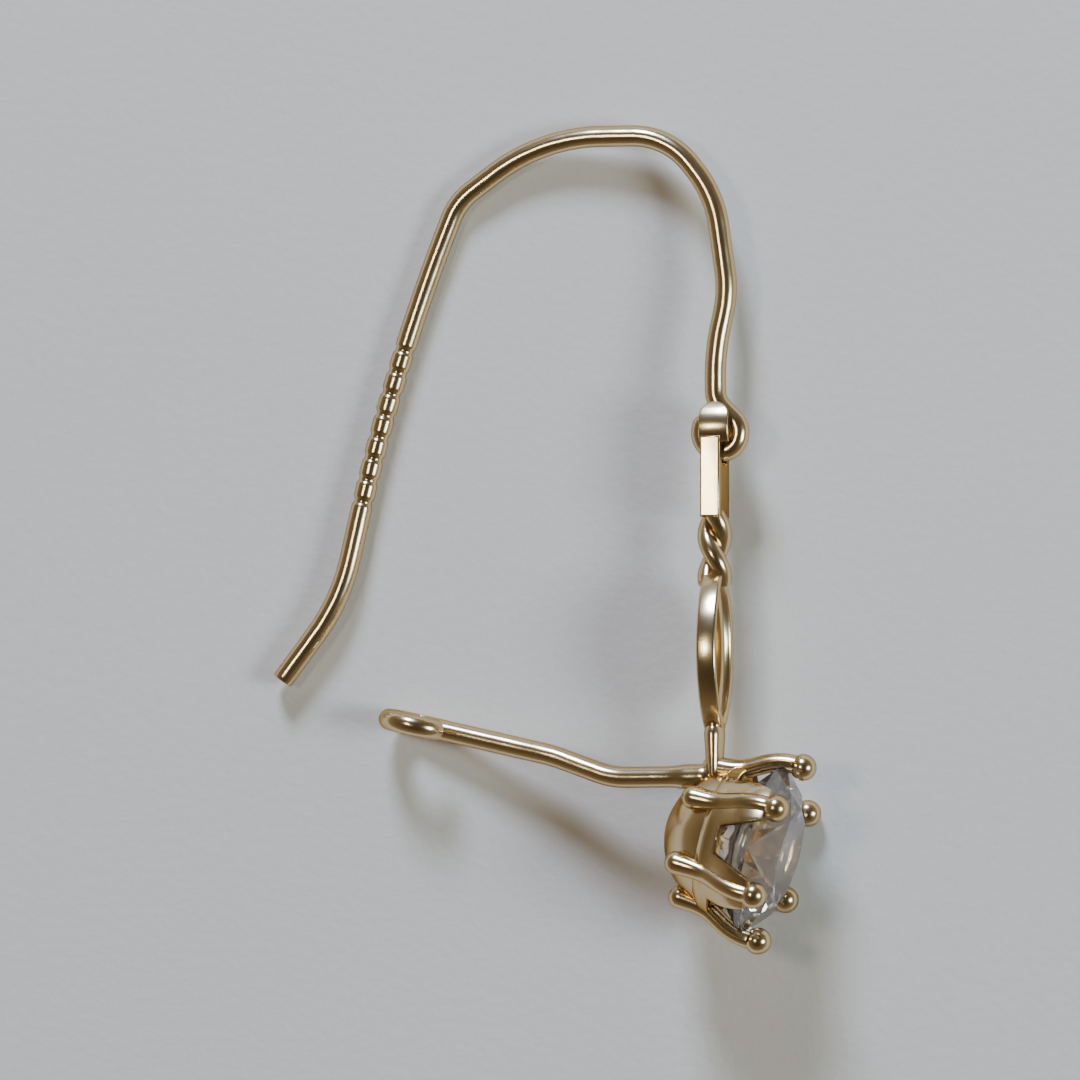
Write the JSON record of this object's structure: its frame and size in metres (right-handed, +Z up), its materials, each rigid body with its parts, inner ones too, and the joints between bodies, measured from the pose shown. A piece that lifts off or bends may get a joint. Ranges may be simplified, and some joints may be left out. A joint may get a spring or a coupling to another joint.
{
  "type": "gold drop earring with hinged ear wire",
  "caption": "Drop earring lying on its side: a hinged ear wire that closes on a rigid catch, a twisted bar, a pointed leaf and a round clear stone in a claw head.",
  "frame": {"origin": "the middle of the bounding box on the table that the earring lies on", "axes": "+Y from the stone along the drop to the arch of the ear wire, +X to the earring's front, +Z up from the table"},
  "size_m": [0.0192, 0.0288, 0.0064],
  "materials": {
    "gold": "polished pale yellow 14 carat gold",
    "stone": "faceted, colourless and clear"
  },
  "bodies": {
    "drop": {"drop": "gold", "stone": "stone"},
    "ear_wire": {"ear_wire": "gold"}
  },
  "joints": [
    {"name": "ear_wire_hinge", "type": "hinge", "parent": "drop", "child": "ear_wire", "pos_m": [0.00622, 0.00369, 0.00204], "axis": [-0.1255, 0.0592, 0.9903], "range_deg": [-95, 11.5]}
  ]
}
